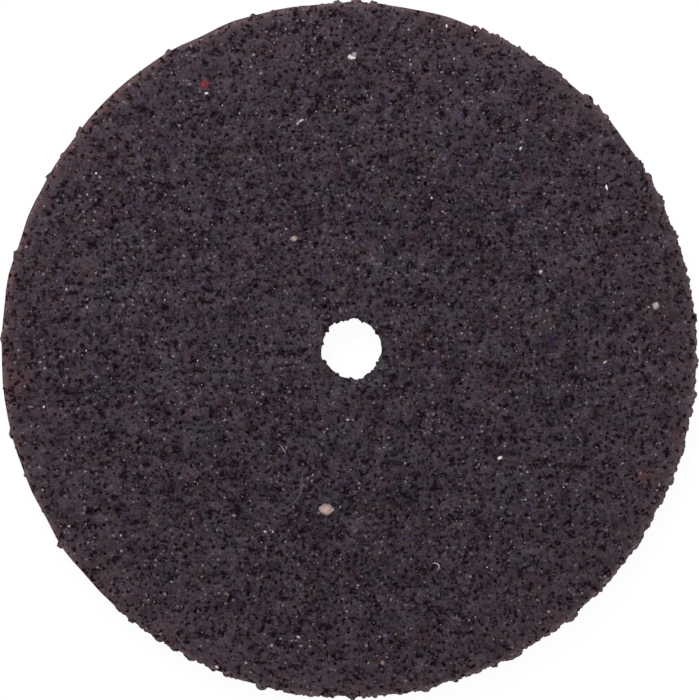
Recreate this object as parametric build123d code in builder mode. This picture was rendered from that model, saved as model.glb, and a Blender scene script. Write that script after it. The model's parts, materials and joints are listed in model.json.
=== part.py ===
"""Cut-off wheel for a small rotary tool: one thin disc of crushed abrasive grain in a resin bond.

The wheel is pressed as a single piece, so it is a single solid. Both faces are flat, because a mandrel
clamps the wheel between two small washers. The corner between each face and the rim is slightly broken.
Grains stand out of the rim and into the bore, where the bond between them sits a little further back.

The wheel lies on its lower face. The origin is on the axis of the bore, in the plane of the lower face.
+Z points along the bore, and +Y is the upper side of the wheel as seen from above.
All sizes are in millimetres, and all angles are in degrees from +X towards +Y.
"""

import math
import os
import random

from build123d import *

# Disc
wheel_diameter = 24.0  # to the general level of the grit on the rim
wheel_thickness = 1.0
corner_break = 0.1  # slope that takes off the corner between each face and the rim
bore_diameter = 2.1  # of the bond wall, which single grains stand out of
bore_offset_x = 0.09  # the bore is punched this far to the right of the rim's centre
bore_offset_y = 0.045  # and this far above it

# Grit on the rim
grain_width = 0.56  # across a coarse grain
fine_share = 0.45  # the finest grains have this share of that width
grain_pitch = 0.64  # from one grain to the next along a layer
layer_pitch = 0.26  # from one layer of grains to the next through the thickness
outer_layer_depth = 0.13  # from the edge of each broken corner to the middle of the grains nearest it
row_unevenness = 0.12  # how far a grain strays from its place in its row, as a share of the step
rim_relief = 0.05  # the bond between grains lies this far inside the wheel's diameter
tip_height_low = 0.03  # how far the tips of the grains stand out of the bond
tip_height_high = 0.12
tip_height_proud = 0.17
corner_points = 8  # corners of one crushed grain
corner_reach_low = 0.84  # the nearest corner's distance from the middle, as a share of the farthest one's
corner_stray_angle = 20.0  # how far a corner strays round the grain from its even place

# The largest grains of the rim, each at its angle and its layer
proud_grains = (
    (3, 1), (32, 2), (44, 0), (67, 1), (86, 2), (92, 0), (141, 2), (150, 1), (164, 2), (178, 0), (194, 2),
    (214, 1), (231, 2), (249, 0), (260, 2), (267, 1), (280, 0), (295, 2), (305, 1), (318, 2), (344, 0),
)

# The moulded skin of the rim is whole over this stretch, and only the largest grains break through it
skin_start_angle = 98.0
skin_end_angle = 226.0

# Grains that stand into the bore, each at its angle and its layer
bore_grain_width = 0.24
bore_tip_height = 0.11
bore_grains = ((34, 2), (70, 2), (118, 0), (142, 2), (170, 1), (206, 0), (240, 2), (270, 0), (299, 2), (330, 1))

chance = random.Random(24)
rim_radius = wheel_diameter / 2 - rim_relief
bore_radius = bore_diameter / 2
rim_centre = Vector(-bore_offset_x, -bore_offset_y)

# The outer layers lie just inside both broken corners
first_layer = corner_break + outer_layer_depth
layers = 1 + max(0, round((wheel_thickness - 2 * first_layer) / layer_pitch))
layer_spacing = (wheel_thickness - 2 * first_layer) / max(1, layers - 1)
places = int(2 * math.pi * rim_radius / grain_pitch)
step = 360 / places


def crushed_grain(centre, width):
    """One angular grain, as the hull of points scattered evenly over an uneven ball round its centre."""
    spin = chance.uniform(0, 360)
    golden_angle = 180 * (3 - math.sqrt(5))
    corners = []
    for i in range(corner_points):
        height = 1 - (2 * i + 1) / corner_points
        turn = math.radians(spin + i * golden_angle + chance.uniform(-corner_stray_angle, corner_stray_angle))
        reach = width / 2 * chance.uniform(corner_reach_low, 1.0)
        across = math.sqrt(1 - height**2)
        corners.append(centre + reach * Vector(across * math.cos(turn), across * math.sin(turn), height))
    return ConvexPolyhedron(corners, mode=Mode.PRIVATE)


def on_wall(centre, radius, angle, layer, width):
    """The middle of a grain at this radius and angle, in a layer or as near it as both faces leave room."""
    turn = math.radians(angle)
    z = first_layer + min(layer, layers - 1) * layer_spacing
    z = min(max(z, width / 2), wheel_thickness - width / 2)
    return centre + Vector(radius * math.cos(turn), radius * math.sin(turn), z)


def rim_grain(angle, layer, width, tip_height):
    """A grain in the rim whose outermost corners stand about this far out of the bond."""
    return crushed_grain(on_wall(rim_centre, rim_radius + tip_height - width / 2, angle, layer, width), width)


def beside_proud_grain(angle, layer):
    """Whether one of the largest grains already takes this place in the layer."""
    for proud_angle, proud_layer in proud_grains:
        apart = abs((angle - proud_angle + 180) % 360 - 180)
        if layer == proud_layer and apart < step:
            return True
    return False


# The largest grains, all round the rim
grains = [rim_grain(angle, layer, grain_width, tip_height_proud) for angle, layer in proud_grains]

# Open grit: every layer has its own row of grains, staggered against the row below it
for layer in range(layers):
    for place in range(places):
        angle = (place + layer / layers + chance.uniform(-row_unevenness, row_unevenness)) * step
        width = grain_width * chance.uniform(fine_share, 1.0)
        tip_height = chance.uniform(tip_height_low, tip_height_high)
        if skin_start_angle <= angle % 360 <= skin_end_angle or beside_proud_grain(angle, layer):
            continue
        grains.append(rim_grain(angle, layer, width, tip_height))

# Grains in the wall of the bore
for angle, layer in bore_grains:
    radius = bore_radius - bore_tip_height + bore_grain_width / 2
    middle = on_wall(Vector(), radius, angle, layer, bore_grain_width)
    grains.append(crushed_grain(middle, bore_grain_width))

with BuildPart() as abrasive_disc:
    with BuildSketch(Plane.XY):
        with Locations(rim_centre):
            Circle(rim_radius)
    extrude(amount=wheel_thickness)
    chamfer(abrasive_disc.edges().filter_by(GeomType.CIRCLE), length=corner_break)
    with Locations((0, 0, wheel_thickness)):
        Hole(bore_radius, depth=wheel_thickness)
    add(grains)

abrasive_disc.part.label = "abrasive_disc"

os.makedirs("parts", exist_ok=True)
export_step(abrasive_disc.part, "parts/abrasive_disc.step")
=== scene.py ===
"""Cut-off wheel for a small rotary tool, dressed for rendering.

The wheel is one pressed disc of dark abrasive grain in a resin bond. Its two flat faces are full of small
pores, and a few of them show a bright, tan or red grain. The rim and the bore are gritty.

Sizes are in millimetres. A finished piece is scaled to metres, the unit of the frame.
"""

import json
import logging
import math
import random
from dataclasses import dataclass, field
from enum import Enum
from typing import ClassVar, Iterable, Iterator, Optional, Sequence, Union

import bmesh
import bpy
from mathutils import Euler, Matrix, Vector
from mathutils.geometry import delaunay_2d_cdt


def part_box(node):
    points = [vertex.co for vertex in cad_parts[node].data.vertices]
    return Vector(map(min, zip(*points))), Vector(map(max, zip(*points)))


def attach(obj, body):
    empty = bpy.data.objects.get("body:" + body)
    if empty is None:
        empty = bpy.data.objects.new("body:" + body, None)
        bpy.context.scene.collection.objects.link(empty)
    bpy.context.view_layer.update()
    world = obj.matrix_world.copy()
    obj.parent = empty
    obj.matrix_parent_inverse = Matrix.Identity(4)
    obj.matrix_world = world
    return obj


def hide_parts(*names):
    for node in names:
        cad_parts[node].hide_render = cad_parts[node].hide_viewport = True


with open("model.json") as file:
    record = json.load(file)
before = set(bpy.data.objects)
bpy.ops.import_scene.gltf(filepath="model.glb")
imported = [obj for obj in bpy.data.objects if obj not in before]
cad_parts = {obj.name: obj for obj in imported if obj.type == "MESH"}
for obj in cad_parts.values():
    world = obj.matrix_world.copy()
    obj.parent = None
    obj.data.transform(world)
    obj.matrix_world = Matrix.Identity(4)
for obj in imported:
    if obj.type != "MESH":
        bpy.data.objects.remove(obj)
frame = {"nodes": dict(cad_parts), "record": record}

log = logging.getLogger("cut_off_wheel")

MM = 0.001
NODE = "abrasive_disc"
BODY = "root"
SAME = 1e-4  # two places that lie this near each other, in millimetres, are one
BALL_RADIUS = 0.5

Socket = bpy.types.NodeSocket
Entry = Union["Value", Socket, float, Sequence[float]]  # what an input socket takes
Colour = tuple[float, float, float, float]
WHITE_LIGHT: Colour = (1.0, 1.0, 1.0, 1.0)


def srgb(red: int, green: int, blue: int) -> Colour:
    """Turns a colour as it is seen on a screen into the linear colour that a shader takes.

    Args:
        red, green, blue: The channels, from 0 to 255.

    Returns:
        The linear colour, with an alpha of 1.
    """
    linear = []
    for channel in (red, green, blue):
        share = channel / 255
        linear.append(share / 12.92 if share <= 0.04045 else ((share + 0.055) / 1.055) ** 2.4)
    return (linear[0], linear[1], linear[2], 1.0)


# Shader sockets


class Value:
    """A number that varies over a surface, on which sums can be written as plain Python."""

    def __init__(self, tree: bpy.types.NodeTree, socket: Socket) -> None:
        """Wraps one output socket of a node tree."""
        self.tree = tree
        self.socket = socket

    def math(self, operation: str, *others: Union["Value", float], first: Optional[float] = None) -> "Value":
        """Adds a Math node.

        Args:
            operation: The node's operation.
            others: What follows this value in the node's inputs.
            first: A plain number that goes before this value, for the reflected operators.

        Returns:
            The node's result.
        """
        node = self.tree.nodes.new("ShaderNodeMath")
        node.operation = operation
        inputs = [self, *others] if first is None else [first, self, *others]
        for place, entry in enumerate(inputs):
            if isinstance(entry, Value):
                self.tree.links.new(entry.socket, node.inputs[place])
            else:
                node.inputs[place].default_value = entry
        return Value(self.tree, node.outputs[0])

    def __add__(self, other: Union["Value", float]) -> "Value":
        """This value plus another."""
        return self.math("ADD", other)

    __radd__ = __add__

    def __sub__(self, other: Union["Value", float]) -> "Value":
        """This value less another."""
        return self.math("SUBTRACT", other)

    def __rsub__(self, other: float) -> "Value":
        """A plain number less this value."""
        return self.math("SUBTRACT", first=other)

    def __mul__(self, other: Union["Value", float]) -> "Value":
        """This value times another."""
        return self.math("MULTIPLY", other)

    __rmul__ = __mul__

    def between(self, low: float, high: float) -> "Value":
        """A soft step.

        Args:
            low: Where the step begins. It may be the larger of the two.
            high: Where the step ends.

        Returns:
            A value that goes smoothly from 0 at low to 1 at high.
        """
        node = self.tree.nodes.new("ShaderNodeMapRange")
        node.interpolation_type = "SMOOTHSTEP"
        self.tree.links.new(self.socket, node.inputs["Value"])
        node.inputs["From Min"].default_value = min(low, high)
        node.inputs["From Max"].default_value = max(low, high)
        node.inputs["To Min"].default_value = 0.0 if low < high else 1.0
        node.inputs["To Max"].default_value = 1.0 if low < high else 0.0
        return Value(self.tree, node.outputs["Result"])


@dataclass(frozen=True)
class Blotches:
    """Soft random blotches.

    Attributes:
        width: The width of a blotch in millimetres.
        detail: How many finer layers are added.
        roughness: How strong each finer layer is.
        shift: Moves the pattern, so that two kinds differ.
        start, full: Where a patch of them begins and where it is full, from 0 to 1.
        weight: How much they count where they are mixed in.
    """

    width: float
    detail: float
    roughness: float
    shift: float
    start: float = 0.0
    full: float = 1.0
    weight: float = 1.0


@dataclass(frozen=True)
class Dots:
    """Small soft dots of uneven strength, one in each of the cells that are chosen.

    Attributes:
        spacing: The width of a cell in millimetres.
        radius: The radius of a dot in millimetres.
        share: The share of cells that have a dot.
        unevenness: 0 for dots that are all full, and more for fewer full ones.
        weight: How much they count where they are mixed in.
    """

    spacing: float
    radius: float
    share: float
    unevenness: float = 1.5
    weight: float = 1.0


class Finish:
    """The node tree of one material, with its Principled shader.

    Attributes:
        shift_way: The way in which the pattern of one noise is moved off another's.
        cell_edge: Half the step over which a cell is chosen or not.
        full_part: The part of a dot's radius within which the dot is full.
    """

    shift_way: ClassVar[tuple[float, float, float]] = (1.0, 1.7, 0.6)
    cell_edge: ClassVar[float] = 0.01
    full_part: ClassVar[float] = 0.2

    def __init__(self, name: str, specular: float = 0.5) -> None:
        """Starts a material.

        Args:
            name: The material's name.
            specular: The shader's specular level, the same all over.
        """
        self.material = bpy.data.materials.new(name)
        self.material.use_nodes = True
        self.tree = self.material.node_tree
        self.shader = self.tree.nodes["Principled BSDF"]
        self.shader.inputs["Specular IOR Level"].default_value = specular

    def node(self, kind: str, settings: Optional[dict[str, str]] = None, **inputs: Entry) -> bpy.types.Node:
        """Adds any node.

        Args:
            kind: The node's type.
            settings: Properties of the node, which are set first.
            inputs: Values or links by socket, with an underscore for each space in the socket's name.

        Returns:
            The node.
        """
        made = self.tree.nodes.new(kind)
        for key, setting in (settings or {}).items():
            setattr(made, key, setting)
        for key, entry in inputs.items():
            name = key.replace("_", " ")
            enabled = [s for s in made.inputs if s.name == name and s.enabled]
            self.feed(enabled[0], entry)
        return made

    def feed(self, socket: Socket, entry: Entry) -> None:
        """Links a value or a socket to an input, or sets the input to a plain number, colour or vector.

        Args:
            socket: The input.
            entry: What goes into it.
        """
        if isinstance(entry, Value):
            self.tree.links.new(entry.socket, socket)
        elif isinstance(entry, Socket):
            self.tree.links.new(entry, socket)
        else:
            socket.default_value = entry

    def value(self, socket: Socket) -> Value:
        """Wraps an output socket for sums."""
        return Value(self.tree, socket)

    def vector_node(self, operation: str, *entries: Entry) -> bpy.types.Node:
        """Adds a Vector Math node, with these entries in its inputs in order."""
        made = self.node("ShaderNodeVectorMath", {"operation": operation})
        for socket, entry in zip(made.inputs, entries):
            self.feed(socket, entry)
        return made

    def vector(self, operation: str, *entries: Entry) -> Socket:
        """The vector that such a node works out of these entries."""
        return self.vector_node(operation, *entries).outputs["Vector"]

    def measure(self, operation: str, *entries: Entry) -> Value:
        """The number that such a node works out of these entries, such as a length."""
        return self.value(self.vector_node(operation, *entries).outputs["Value"])

    def scaled(self, vector: Entry, amount: Entry) -> Socket:
        """A vector or a colour times a number."""
        made = self.node("ShaderNodeVectorMath", {"operation": "SCALE"}, Vector=vector, Scale=amount)
        return made.outputs["Vector"]

    def places(self) -> Socket:
        """Object coordinates in millimetres."""
        return self.scaled(self.node("ShaderNodeTexCoord").outputs["Object"], 1 / MM)

    def attribute(self, name: str) -> Value:
        """A number that the piece's mesh holds at its vertices."""
        return self.value(self.node("ShaderNodeAttribute", {"attribute_name": name}).outputs["Fac"])

    def noise(self, places: Socket, kind: Blotches) -> Value:
        """Draws blotches.

        Args:
            places: The coordinates in millimetres.
            kind: The kind of blotches.

        Returns:
            A value from about 0 to 1, with a mean of a half.
        """
        shift = [kind.shift * share for share in self.shift_way]
        texture = self.node(
            "ShaderNodeTexNoise",
            Vector=self.vector("ADD", places, shift),
            Scale=1 / kind.width,
            Detail=kind.detail,
            Roughness=kind.roughness,
        )
        return self.value(texture.outputs["Fac"])

    def patches(self, places: Socket, kind: Blotches) -> Value:
        """Draws patches with soft edges where the blotches are strong, from 0 to 1."""
        return self.noise(places, kind).between(kind.start, kind.full)

    def stirred(self, places: Socket, width: float, amount: float) -> Socket:
        """Coordinates that are moved about a little, so that what is drawn with them has no even edges.

        Args:
            places: The coordinates in millimetres.
            width: The width of a swirl in millimetres.
            amount: How far a place moves, in millimetres.

        Returns:
            The moved coordinates.
        """
        texture = self.node("ShaderNodeTexNoise", Vector=places, Scale=1 / width, Detail=1.0)
        return self.vector("ADD", places, self.scaled(texture.outputs["Color"], 2 * amount))

    def cells(self, places: Socket, spacing: float) -> bpy.types.Node:
        """Adds a pattern of cells, each round its own middle.

        Args:
            places: The coordinates in millimetres.
            spacing: The width of a cell in millimetres.

        Returns:
            The node, which gives the distance from the cell's middle as a share of its width.
        """
        settings = {"feature": "F1"}
        return self.node("ShaderNodeTexVoronoi", settings, Vector=places, Scale=1 / spacing, Randomness=1.0)

    def crevices(self, places: Socket, spacing: float, start: float, deepest: float) -> Value:
        """Corners between packed grains, where painted shade goes.

        Args:
            places: The coordinates in millimetres.
            spacing: The width of a grain in millimetres.
            start: The distance from a grain's middle at which a crevice begins, as a share of the width.
            deepest: The distance at which it is darkest.

        Returns:
            1 in a crevice and 0 on a grain.
        """
        return self.value(self.cells(places, spacing).outputs["Distance"]).between(start, deepest)

    def dots(self, places: Socket, kind: Dots) -> Value:
        """Draws dots.

        Args:
            places: The coordinates in millimetres.
            kind: The kind of dots.

        Returns:
            A value of up to 1 in the middle of a dot, and 0 outside it.
        """
        cells = self.cells(places, kind.spacing)
        parts = self.node("ShaderNodeSeparateColor", Color=cells.outputs["Color"])
        bare = 1 - kind.share
        chosen = self.value(parts.outputs[0]).between(bare - self.cell_edge, bare + self.cell_edge)
        strength = self.value(parts.outputs[1]).math("POWER", kind.unevenness)
        reach = kind.radius / kind.spacing
        near = self.value(cells.outputs["Distance"]).between(reach, self.full_part * reach)
        return near * chosen * strength

    def mix(self, amount: Entry, below: Entry, above: Entry) -> Socket:
        """Blends two colours.

        Args:
            amount: How much of the upper colour shows.
            below: The lower colour.
            above: The upper colour.

        Returns:
            The blended colour's socket.
        """
        return self.node("ShaderNodeMix", {"data_type": "RGBA"}, Factor=amount, A=below, B=above).outputs[2]

    def lifted(self, colour: Entry, step: tuple[float, float, float], amount: Value) -> Socket:
        """A colour to which a step is added as often as a number that varies over the surface says."""
        return self.vector("MULTIPLY_ADD", step, amount, colour)

    def dress(self, colour: Entry, roughness: Entry, normal: Optional[Socket] = None) -> bpy.types.Material:
        """Feeds the shader and returns the material."""
        self.feed(self.shader.inputs["Base Color"], colour)
        self.feed(self.shader.inputs["Roughness"], roughness)
        if normal is not None:
            self.feed(self.shader.inputs["Normal"], normal)
        return self.material


# Sizes that all pieces share


@dataclass(frozen=True)
class WheelSizes:
    """What the pieces need to know of the solid wheel, in millimetres.

    Attributes:
        bottom, top: The heights of the two faces.
        rim_x, rim_y: The centre of the rim. The axis of the bore is at zero.
        face_radius: The radius of the flat faces, within their broken corners.
        wall_radius: The radius of the rim's wall between its grains.
        bore_radius: The radius of the bore's wall.
        largest_corner_break: A height within which every broken corner lies.
        bore_margin: The ring round the bore that stays free of pores.
    """

    bottom: float
    top: float
    rim_x: float
    rim_y: float
    face_radius: float
    wall_radius: float
    bore_radius: float
    largest_corner_break: ClassVar[float] = 0.15
    bore_margin: ClassVar[float] = 0.12

    @classmethod
    def of_node(cls, node: bpy.types.Object, bore_radius: float) -> "WheelSizes":
        """Reads the sizes off the solid's mesh.

        Args:
            node: The solid wheel.
            bore_radius: The radius of the bore's wall.

        Returns:
            The sizes.
        """
        low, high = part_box(NODE)
        top = high.z / MM
        edge = [v.co / MM for v in node.data.vertices if abs(v.co.z / MM - top) < SAME]
        edge = [co for co in edge if co.xy.length > 2 * bore_radius]
        rim_x = (min(co.x for co in edge) + max(co.x for co in edge)) / 2
        rim_y = (min(co.y for co in edge) + max(co.y for co in edge)) / 2
        rim = Vector((rim_x, rim_y))
        face_radius = max((co.xy - rim).length for co in edge)
        corner = cls.largest_corner_break
        wall = [v.co / MM for v in node.data.vertices if low.z / MM + corner < v.co.z / MM < top - corner]
        wall_radius = min((co.xy - rim).length for co in wall if co.xy.length > 2 * bore_radius)
        return cls(low.z / MM, top, rim_x, rim_y, face_radius, wall_radius, bore_radius)

    @property
    def rim_centre(self) -> Vector:
        """The centre of the rim, which lies a little off the axis of the bore."""
        return Vector((self.rim_x, self.rim_y, 0.0))


@dataclass(frozen=True)
class PhotoScale:
    """Where the wheel's upper face lies in the photograph.

    Attributes:
        width, height: The photograph's size in pixels.
        rim_x, rim_y: The pixel at the centre of the rim.
        pixels_per_mm: The scale.
        half_pixel: From a pixel's number to its middle.
    """

    width: int = 699
    height: int = 700
    rim_x: float = 348.5
    rim_y: float = 349.5
    pixels_per_mm: float = 28.95
    half_pixel: float = 0.5

    def place(self, sizes: WheelSizes, x: float, y: float) -> Vector:
        """The point of the upper face that shows at this pixel.

        Args:
            sizes: The wheel's sizes.
            x: The pixel's column.
            y: The pixel's row.

        Returns:
            The point, in millimetres.
        """
        right = (x - self.rim_x) / self.pixels_per_mm
        up = (self.rim_y - y) / self.pixels_per_mm
        return sizes.rim_centre + Vector((right, up, sizes.top))


class GrainColour(Enum):
    """The kinds of grain that stand out from the dark ones."""

    TAN = "tan"
    PALE = "pale"
    WHITE = "white"
    RED = "red"
    BROWN = "brown"


class Brightness(Enum):
    """How bright an odd grain is, from 0 for the dim end of its finish to 1 for the bright end."""

    FAINT = 0.0
    DIM = 0.25
    CLEAR = 0.55
    BRIGHT = 1.0


@dataclass(frozen=True)
class SeenGrain:
    """A grain that is plainly seen in the upper face.

    Attributes:
        x, y: Its pixel in the photograph.
        length, width: Its size in millimetres.
        turn: The direction of its length, in degrees from +X.
        colour: Its kind.
        brightness: How bright it is.
    """

    x: float
    y: float
    length: float
    width: float
    turn: float
    colour: GrainColour
    brightness: Brightness


# The white grains, and the small bright pale ones, are partly painted glints: their bright colour stands in
# for light that catches them as well as for the grain.
SEEN_GRAINS = (
    SeenGrain(325.2, 508.2, 0.60, 0.42, 170, GrainColour.TAN, Brightness.CLEAR),
    SeenGrain(292.5, 238, 0.29, 0.22, 0, GrainColour.TAN, Brightness.CLEAR),
    SeenGrain(382, 662, 0.20, 0.17, 0, GrainColour.TAN, Brightness.DIM),
    SeenGrain(604.7, 361.3, 0.21, 0.11, 30, GrainColour.PALE, Brightness.CLEAR),
    SeenGrain(655.3, 304.8, 0.33, 0.27, 110, GrainColour.PALE, Brightness.CLEAR),
    SeenGrain(350.8, 56.5, 0.32, 0.22, 0, GrainColour.PALE, Brightness.BRIGHT),
    SeenGrain(353.5, 54.0, 0.20, 0.16, 20, GrainColour.PALE, Brightness.CLEAR),
    SeenGrain(300.4, 120.2, 0.22, 0.11, 22, GrainColour.PALE, Brightness.CLEAR),
    SeenGrain(297.4, 122.6, 0.16, 0.11, 65, GrainColour.PALE, Brightness.CLEAR),
    SeenGrain(540, 271.3, 0.18, 0.15, 70, GrainColour.PALE, Brightness.CLEAR),
    SeenGrain(499, 457.3, 0.22, 0.15, 25, GrainColour.PALE, Brightness.BRIGHT),
    SeenGrain(252.9, 54.3, 0.13, 0.11, 0, GrainColour.PALE, Brightness.CLEAR),
    SeenGrain(446, 25.3, 0.15, 0.10, 100, GrainColour.PALE, Brightness.BRIGHT),
    SeenGrain(453.7, 58, 0.13, 0.09, 85, GrainColour.PALE, Brightness.CLEAR),
    SeenGrain(474.6, 30, 0.10, 0.08, 30, GrainColour.PALE, Brightness.CLEAR),
    SeenGrain(311.5, 48.8, 0.17, 0.10, 100, GrainColour.PALE, Brightness.FAINT),
    SeenGrain(334, 110, 0.14, 0.10, 45, GrainColour.PALE, Brightness.DIM),
    SeenGrain(297.5, 636.3, 0.19, 0.12, 160, GrainColour.PALE, Brightness.CLEAR),
    SeenGrain(39.3, 361.6, 0.14, 0.11, 0, GrainColour.PALE, Brightness.DIM),
    SeenGrain(68.4, 525.5, 0.12, 0.11, 0, GrainColour.PALE, Brightness.CLEAR),
    SeenGrain(658.3, 484.5, 0.18, 0.12, 60, GrainColour.PALE, Brightness.FAINT),
    SeenGrain(656.6, 489.5, 0.11, 0.06, 0, GrainColour.PALE, Brightness.DIM),
    SeenGrain(216.2, 666.4, 0.14, 0.08, 145, GrainColour.WHITE, Brightness.BRIGHT),
    SeenGrain(205.9, 92.4, 0.17, 0.09, 0, GrainColour.WHITE, Brightness.BRIGHT),
    SeenGrain(431.2, 197.3, 0.11, 0.07, 110, GrainColour.WHITE, Brightness.BRIGHT),
    SeenGrain(264.6, 531, 0.15, 0.09, 175, GrainColour.WHITE, Brightness.CLEAR),
    SeenGrain(272.1, 531.2, 0.14, 0.07, 130, GrainColour.WHITE, Brightness.CLEAR),
    SeenGrain(43.1, 406.1, 0.11, 0.09, 105, GrainColour.WHITE, Brightness.BRIGHT),
    SeenGrain(120.4, 534.9, 0.12, 0.06, 90, GrainColour.WHITE, Brightness.BRIGHT),
    SeenGrain(245.2, 662.3, 0.16, 0.09, 130, GrainColour.WHITE, Brightness.DIM),
    SeenGrain(524.8, 498.8, 0.11, 0.08, 150, GrainColour.WHITE, Brightness.CLEAR),
    SeenGrain(521.6, 499.3, 0.10, 0.06, 0, GrainColour.WHITE, Brightness.DIM),
    SeenGrain(520, 147.6, 0.18, 0.13, 60, GrainColour.WHITE, Brightness.CLEAR),
    SeenGrain(606, 186.5, 0.26, 0.10, 107, GrainColour.WHITE, Brightness.BRIGHT),
    SeenGrain(526, 119.3, 0.10, 0.09, 0, GrainColour.WHITE, Brightness.CLEAR),
    SeenGrain(95.2, 172.7, 0.11, 0.08, 135, GrainColour.WHITE, Brightness.BRIGHT),
    SeenGrain(99.5, 176.6, 0.11, 0.07, 130, GrainColour.WHITE, Brightness.CLEAR),
    SeenGrain(204, 83.4, 0.40, 0.26, 5, GrainColour.RED, Brightness.CLEAR),
    SeenGrain(613, 380, 0.22, 0.18, 95, GrainColour.BROWN, Brightness.CLEAR),
    SeenGrain(349.3, 145.2, 0.14, 0.11, 15, GrainColour.BROWN, Brightness.CLEAR),
    SeenGrain(423, 273.9, 0.16, 0.10, 0, GrainColour.BROWN, Brightness.BRIGHT),
    SeenGrain(30, 406.2, 0.22, 0.12, 170, GrainColour.BROWN, Brightness.BRIGHT),
)


# Pores


@dataclass(frozen=True)
class Pore:
    """One pore in a flat face, in millimetres.

    Attributes:
        x, y: Its middle.
        length, width: The size of its mouth.
        turn: The direction of its length, in radians from +X.
        depth: Its depth.
        corners: How many corners its mouth has.
        darkness: How much painted shade darkens it, from 0 to 1.
    """

    x: float
    y: float
    length: float
    width: float
    turn: float
    depth: float
    corners: int
    darkness: float

    @property
    def reach(self) -> float:
        """The radius of the circle that holds the pore."""
        return max(self.length, self.width) / 2


@dataclass
class PoreField:
    """The pores of one flat face, scattered so that none touches another.

    Attributes:
        sizes: The wheel's sizes.
        seed: Starts the scatter.
        count: How many pores are looked for.
        smallest: The area of the smallest pore.
        spread: The mean of what is added to that area.
        gap: The least distance between two pores.
        longest: The length of the longest pore, as a share of its width.
        five_corners, six_corners: The areas below which a pore has five and six corners. The rest have eight.
        faintest: The darkness of the faintest pore.
        least_depth, dark_depth: The depth of each pore, and what a fully dark one has besides, as shares of
            its width.
        deepest: The depth that no pore passes.
        pores: The pores so far.
        cell: The width of a cell of the grid that finds neighbours.
        tries: How many places are tried for a pore.
    """

    sizes: WheelSizes
    seed: int
    count: int = 2500
    smallest: float = 0.0085
    spread: float = 0.0120
    gap: float = 0.012
    longest: float = 1.7
    five_corners: float = 0.012
    six_corners: float = 0.03
    faintest: float = 0.5
    least_depth: float = 0.2
    dark_depth: float = 0.65
    deepest: float = 0.16
    pores: list[Pore] = field(default_factory=list)
    cell: float = 0.5
    tries: int = 25

    def __post_init__(self) -> None:
        """Starts the random numbers and the grid that finds neighbours."""
        self.chance = random.Random(self.seed)
        self.grid: dict[tuple[int, int], list[Pore]] = {}

    def neighbours(self, pore: Pore) -> Iterator[Pore]:
        """The pores in the cells round this one."""
        column = int(pore.x // self.cell)
        row = int(pore.y // self.cell)
        for i in (column - 1, column, column + 1):
            for j in (row - 1, row, row + 1):
                yield from self.grid.get((i, j), ())

    def fits(self, pore: Pore) -> bool:
        """Finds out if there is room for a pore.

        Args:
            pore: The pore.

        Returns:
            Whether it lies in the face and clear of the other pores.
        """
        from_rim = math.hypot(pore.x - self.sizes.rim_x, pore.y - self.sizes.rim_y)
        if from_rim + pore.reach > self.sizes.face_radius - 2 * self.gap:
            return False
        if math.hypot(pore.x, pore.y) - pore.reach < self.sizes.bore_radius + self.sizes.bore_margin:
            return False
        for other in self.neighbours(pore):
            if math.hypot(pore.x - other.x, pore.y - other.y) < pore.reach + other.reach + self.gap:
                return False
        return True

    def add(self, pore: Pore) -> bool:
        """Adds a pore if there is room for it.

        Args:
            pore: The pore.

        Returns:
            Whether it was added.
        """
        if not self.fits(pore):
            return False
        cell = (int(pore.x // self.cell), int(pore.y // self.cell))
        self.grid.setdefault(cell, []).append(pore)
        self.pores.append(pore)
        return True

    def scatter(self) -> None:
        """Fills the face with pores, the largest first."""
        areas = [self.smallest + self.chance.expovariate(1 / self.spread) for _ in range(self.count)]
        for area in sorted(areas, reverse=True):
            stretch = self.chance.uniform(1.0, self.longest)
            width = 2 * math.sqrt(area / (math.pi * stretch))
            corners = 5 if area < self.five_corners else 6 if area < self.six_corners else 8
            darkness = self.chance.uniform(self.faintest, 1.0)
            depth = min(self.deepest, width * (self.least_depth + self.dark_depth * darkness))
            for _ in range(self.tries):
                angle = self.chance.uniform(0, math.tau)
                distance = math.sqrt(self.chance.random()) * self.sizes.face_radius
                x = self.sizes.rim_x + distance * math.cos(angle)
                y = self.sizes.rim_y + distance * math.sin(angle)
                turn = self.chance.uniform(0, math.pi)
                if self.add(Pore(x, y, width * stretch, width, turn, depth, corners, darkness)):
                    break


@dataclass(frozen=True)
class Side:
    """One of the two flat faces.

    Attributes:
        name: Which one it is.
        height: Its height.
        inward: The way into the wheel, -1 for down and 1 for up.
        pores: Its pores.
    """

    name: str
    height: float
    inward: float
    pores: PoreField

    def level(self, depth: float) -> float:
        """The height that lies this deep below the face."""
        return self.height + self.inward * depth

    def pressed(self, level: float) -> dict[str, float]:
        """What keeps a grain of this face flat at this height."""
        return {"ceiling" if self.inward < 0 else "floor": level}


Seat = tuple[Side, SeenGrain, Vector, float]  # a grain's face, the grain, its place and how deep its top lies


# Pieces


def finished(name: str, shape: bmesh.types.BMesh, material: bpy.types.Material) -> bpy.types.Object:
    """Makes an object of a bmesh in millimetres, dresses it and lets it ride on the wheel.

    Args:
        name: The piece's name.
        shape: The piece's shape, which is freed.
        material: Its finish.

    Returns:
        The piece, in metres.
    """
    bmesh.ops.scale(shape, vec=(MM, MM, MM), verts=shape.verts)
    mesh = bpy.data.meshes.new(name)
    shape.to_mesh(mesh)
    shape.free()
    mesh.materials.append(material)
    piece = bpy.data.objects.new(name, mesh)
    bpy.context.scene.collection.objects.link(piece)
    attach(piece, BODY)
    triangles = sum(len(polygon.vertices) - 2 for polygon in mesh.polygons)
    log.info("%s: %d triangles", name, triangles)
    return piece


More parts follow.
